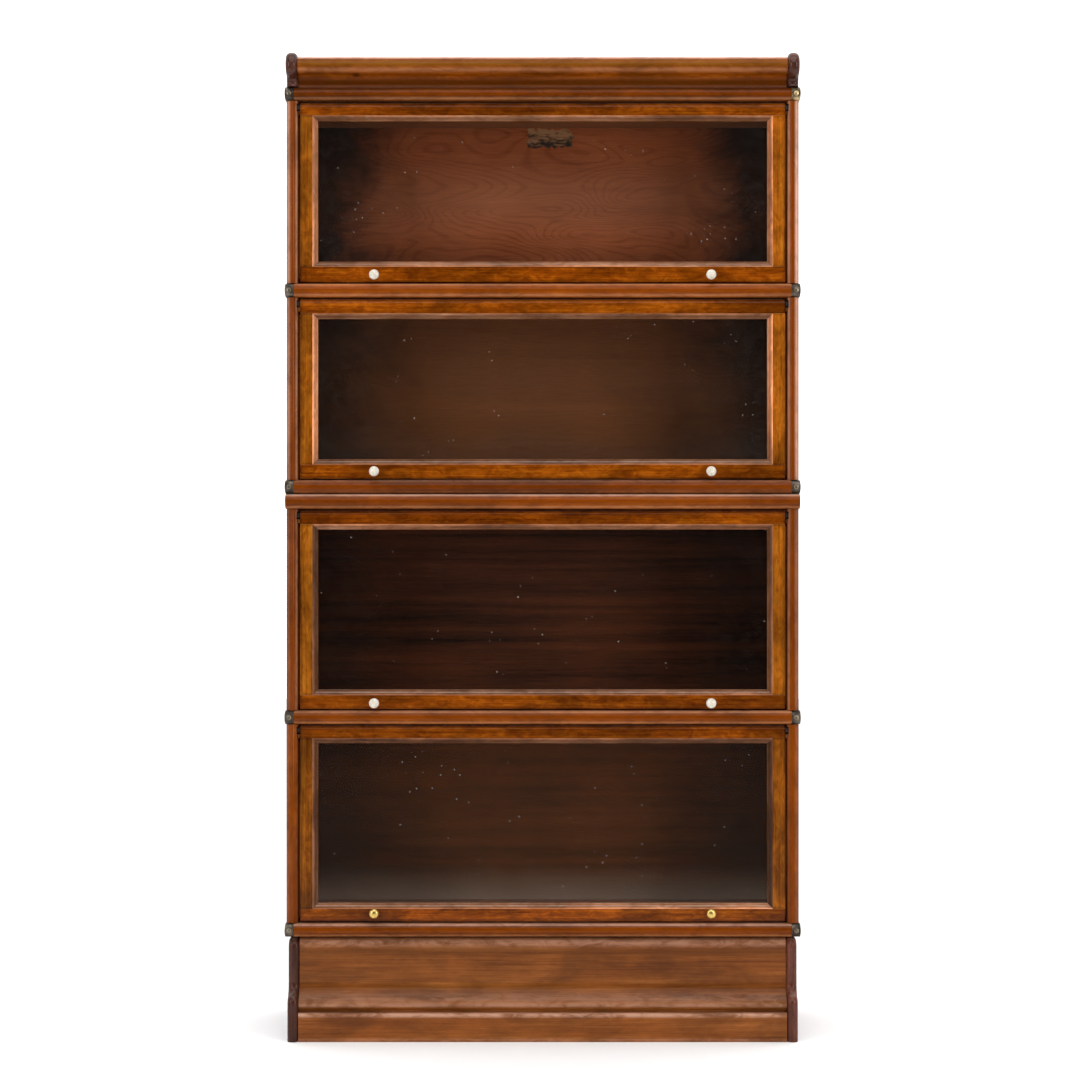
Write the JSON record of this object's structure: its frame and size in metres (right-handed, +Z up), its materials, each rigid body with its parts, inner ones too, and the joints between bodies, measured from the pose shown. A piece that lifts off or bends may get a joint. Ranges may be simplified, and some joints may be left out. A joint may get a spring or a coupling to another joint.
{
  "type": "bookcase with glass doors",
  "caption": "Stacking wooden bookcase with moulded cornice and base; glazed doors lift on side pins and slide back over the books.",
  "frame": {"origin": "on the floor, under the middle of the bookcase's width and depth", "axes": "+X to the right seen from the front, +Y towards the back, +Z up"},
  "size_m": [0.8642, 0.3148, 1.6518],
  "materials": {
    "mahogany": "orange-brown mahogany, old satin varnish",
    "brown_mahogany": "brown mahogany of the base, old satin varnish",
    "dark_mahogany": "dark mahogany end pieces, glossy varnish",
    "panel_wood": "thin figured back panel, dull",
    "porcelain": "glossy ivory white",
    "brass": "polished, a little tarnished",
    "bronzed_steel": "dark bronzed steel, worn",
    "steel": "dull plain steel",
    "glass": "clear old window glass, dusty"
  },
  "bodies": {
    "case": {"base_front": "brown_mahogany", "base_plinth_strip": "brown_mahogany", "base_back_rail": "brown_mahogany", "base_end_left": "dark_mahogany", "base_end_right": "dark_mahogany", "section_4_bottom_board": "mahogany", "section_4_band_left": "bronzed_steel", "section_4_band_right": "bronzed_steel", "section_4_side_left": "mahogany", "section_4_side_right": "mahogany", "section_4_back_panel": "panel_wood", "section_3_bottom_board": "mahogany", "section_3_band_left": "bronzed_steel", "section_3_band_right": "bronzed_steel", "section_3_side_left": "mahogany", "section_3_side_right": "mahogany", "section_3_back_panel": "panel_wood", "ledge_board": "mahogany", "section_2_bottom_board": "mahogany", "section_2_band_left": "bronzed_steel", "section_2_band_right": "bronzed_steel", "section_2_side_left": "mahogany", "section_2_side_right": "mahogany", "section_2_back_panel": "panel_wood", "section_1_bottom_board": "mahogany", "section_1_band_left": "bronzed_steel", "section_1_band_right": "bronzed_steel", "section_1_side_left": "mahogany", "section_1_side_right": "mahogany", "section_1_back_panel": "panel_wood", "cornice_board": "mahogany", "cornice_band_left": "bronzed_steel", "cornice_band_right": "bronzed_steel", "cornice_top": "mahogany", "cornice_end_left": "dark_mahogany", "cornice_end_right": "dark_mahogany"},
    "carriage_1": {"section_1_door_carriage": "steel"},
    "carriage_2": {"section_2_door_carriage": "steel"},
    "carriage_3": {"section_3_door_carriage": "steel"},
    "carriage_4": {"section_4_door_carriage": "steel"},
    "door_1": {"section_1_door_frame": "mahogany", "section_1_door_glass": "glass", "section_1_glazing_bead": "mahogany", "section_1_knob_left": "porcelain", "section_1_knob_right": "porcelain"},
    "door_2": {"section_2_door_frame": "mahogany", "section_2_door_glass": "glass", "section_2_glazing_bead": "mahogany", "section_2_knob_left": "porcelain", "section_2_knob_right": "porcelain"},
    "door_3": {"section_3_door_frame": "mahogany", "section_3_door_glass": "glass", "section_3_glazing_bead": "mahogany", "section_3_knob_left": "porcelain", "section_3_knob_right": "porcelain"},
    "door_4": {"section_4_door_frame": "mahogany", "section_4_door_glass": "glass", "section_4_glazing_bead": "mahogany", "section_4_knob_left": "brass", "section_4_knob_right": "brass"}
  },
  "joints": [
    {"name": "carriage_1_slide", "type": "slide", "parent": "case", "child": "carriage_1", "axis": [0, 1, 0], "range_m": [0, 0.24]},
    {"name": "carriage_2_slide", "type": "slide", "parent": "case", "child": "carriage_2", "axis": [0, 1, 0], "range_m": [0, 0.24]},
    {"name": "carriage_3_slide", "type": "slide", "parent": "case", "child": "carriage_3", "axis": [0, 1, 0], "range_m": [0, 0.24]},
    {"name": "carriage_4_slide", "type": "slide", "parent": "case", "child": "carriage_4", "axis": [0, 1, 0], "range_m": [0, 0.24]},
    {"name": "door_1_lift", "type": "hinge", "parent": "carriage_1", "child": "door_1", "pos_m": [0, -0.11406, 1.5627], "axis": [-1, 0, 0], "range_deg": [0, 90]},
    {"name": "door_2_lift", "type": "hinge", "parent": "carriage_2", "child": "door_2", "pos_m": [0, -0.11406, 1.2332], "axis": [-1, 0, 0], "range_deg": [0, 90]},
    {"name": "door_3_lift", "type": "hinge", "parent": "carriage_3", "child": "door_3", "pos_m": [0, -0.11406, 0.8782], "axis": [-1, 0, 0], "range_deg": [0, 90]},
    {"name": "door_4_lift", "type": "hinge", "parent": "carriage_4", "child": "door_4", "pos_m": [0, -0.11406, 0.5172], "axis": [-1, 0, 0], "range_deg": [0, 90]}
  ]
}
